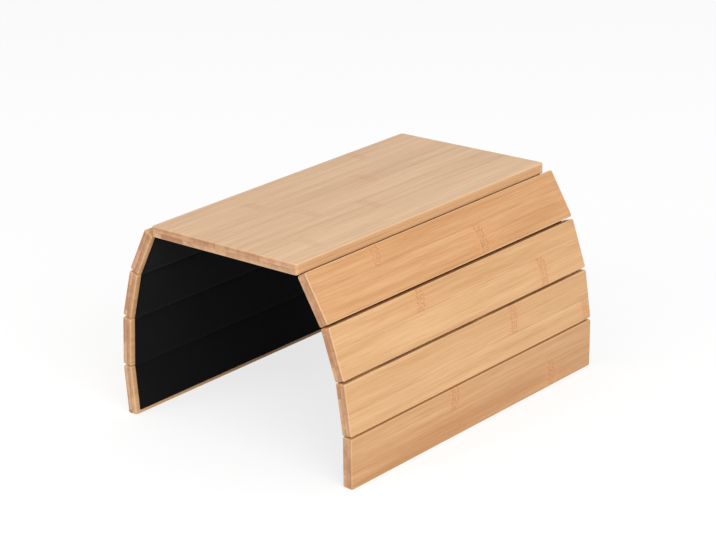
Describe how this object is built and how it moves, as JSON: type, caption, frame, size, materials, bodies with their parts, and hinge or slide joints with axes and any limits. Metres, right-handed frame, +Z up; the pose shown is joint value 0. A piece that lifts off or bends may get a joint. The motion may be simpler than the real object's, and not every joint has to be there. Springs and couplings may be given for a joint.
{
  "type": "sofa arm tray",
  "caption": "Flexible bamboo tray that drapes over a sofa arm: a flat board with hinged slats down both sides on a black cloth backing.",
  "frame": {"origin": "on the floor plane under the middle of the board, the tray standing on the bottom edges of its outer slats", "axes": "+X across the board towards the right-hand slats, +Y along the slats and the sofa arm, +Z up out of the board"},
  "size_m": [0.2728, 0.33, 0.1874],
  "materials": {
    "board_bamboo": "satin lacquered laminated bamboo",
    "slat_bamboo": "satin lacquered laminated bamboo",
    "backing_cloth": "matt black cloth"
  },
  "bodies": {
    "board": {"top_board": "board_bamboo", "backing_centre": "backing_cloth"},
    "right_slat_1": {"slat_right_1": "slat_bamboo", "backing_right_1": "backing_cloth"},
    "right_slat_2": {"slat_right_2": "slat_bamboo", "backing_right_2": "backing_cloth"},
    "right_slat_3": {"slat_right_3": "slat_bamboo", "backing_right_3": "backing_cloth"},
    "right_slat_4": {"slat_right_4": "slat_bamboo", "backing_right_4": "backing_cloth"},
    "left_slat_1": {"slat_left_1": "slat_bamboo", "backing_left_1": "backing_cloth"},
    "left_slat_2": {"slat_left_2": "slat_bamboo", "backing_left_2": "backing_cloth"},
    "left_slat_3": {"slat_left_3": "slat_bamboo", "backing_left_3": "backing_cloth"},
    "left_slat_4": {"slat_left_4": "slat_bamboo", "backing_left_4": "backing_cloth"}
  },
  "joints": [
    {"name": "right_board_hinge", "type": "hinge", "parent": "board", "child": "right_slat_1", "pos_m": [0.0852, 0, 0.17744], "axis": [0, 1, 0], "range_deg": [-60.5, 29.5]},
    {"name": "right_upper_hinge", "type": "hinge", "parent": "right_slat_1", "child": "right_slat_2", "pos_m": [0.10805, 0, 0.13706], "axis": [0, 1, 0], "range_deg": [-12.5, 37.5]},
    {"name": "right_middle_hinge", "type": "hinge", "parent": "right_slat_2", "child": "right_slat_3", "pos_m": [0.12161, 0, 0.09269], "axis": [0, 1, 0], "range_deg": [-11, 79]},
    {"name": "right_lower_hinge", "type": "hinge", "parent": "right_slat_3", "child": "right_slat_4", "pos_m": [0.12646, 0, 0.04654], "axis": [0, 1, 0], "range_deg": [-8.5, 81.5]},
    {"name": "left_board_hinge", "type": "hinge", "parent": "board", "child": "left_slat_1", "pos_m": [-0.0852, 0, 0.17744], "axis": [0, -1, 0], "range_deg": [-60.5, 29.5]},
    {"name": "left_upper_hinge", "type": "hinge", "parent": "left_slat_1", "child": "left_slat_2", "pos_m": [-0.10805, 0, 0.13706], "axis": [0, -1, 0], "range_deg": [-12.5, 37.5]},
    {"name": "left_middle_hinge", "type": "hinge", "parent": "left_slat_2", "child": "left_slat_3", "pos_m": [-0.12161, 0, 0.09269], "axis": [0, -1, 0], "range_deg": [-11, 79]},
    {"name": "left_lower_hinge", "type": "hinge", "parent": "left_slat_3", "child": "left_slat_4", "pos_m": [-0.12646, 0, 0.04654], "axis": [0, -1, 0], "range_deg": [-8.5, 81.5]}
  ]
}
